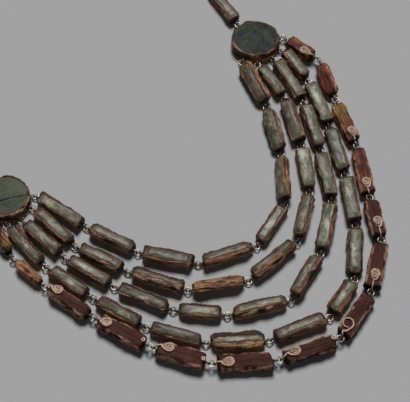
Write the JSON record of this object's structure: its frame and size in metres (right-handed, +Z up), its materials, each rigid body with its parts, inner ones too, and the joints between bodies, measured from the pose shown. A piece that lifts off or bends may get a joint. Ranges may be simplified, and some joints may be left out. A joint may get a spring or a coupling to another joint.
{
  "type": "festoon necklace",
  "caption": "Festoon necklace of graded strands of rough resin bars set with clouded mirror glass, hung between two round medallions on a bar neck strand, laid flat as a loop.",
  "frame": {"origin": "middle of the laid-out necklace's bounding box, on the surface that it lies on", "axes": "+Z up from the surface, +Y towards the nape, X from the left medallion to the right one"},
  "size_m": [0.1802, 0.258, 0.0066],
  "materials": {
    "resin": "rough dark brown resin with rust and ochre streaks along each bar",
    "resin_back": "flat maroon-brown resin with fine lengthwise grain, satin",
    "mirror_glass": "clouded grey-green mirror glass, slightly domed, with soft highlights",
    "silver_wire": "silver wire with dark tarnish in its recesses",
    "coil_wire": "flattened tan-pink wire coil with a thin skin of resin"
  },
  "bodies": {
    "root": {"medallion_left_setting": "resin", "medallion_right_setting": "resin", "medallion_left_glass": "mirror_glass", "medallion_right_glass": "mirror_glass", "strand_1_bars": "resin", "strand_1_glass": "mirror_glass", "strand_1_rings": "silver_wire", "strand_2_bars": "resin", "strand_2_glass": "mirror_glass", "strand_2_rings": "silver_wire", "strand_3_bars": "resin", "strand_3_glass": "mirror_glass", "strand_3_rings": "silver_wire", "strand_4_bars": "resin", "strand_4_glass": "mirror_glass", "strand_4_rings": "silver_wire", "strand_5_bars": "resin_back", "strand_5_glass": "mirror_glass", "strand_5_rings": "silver_wire", "strand_5_coils": "coil_wire", "neck_bars": "resin", "neck_glass": "mirror_glass", "neck_rings": "silver_wire", "clasp": "silver_wire"}
  },
  "joints": []
}
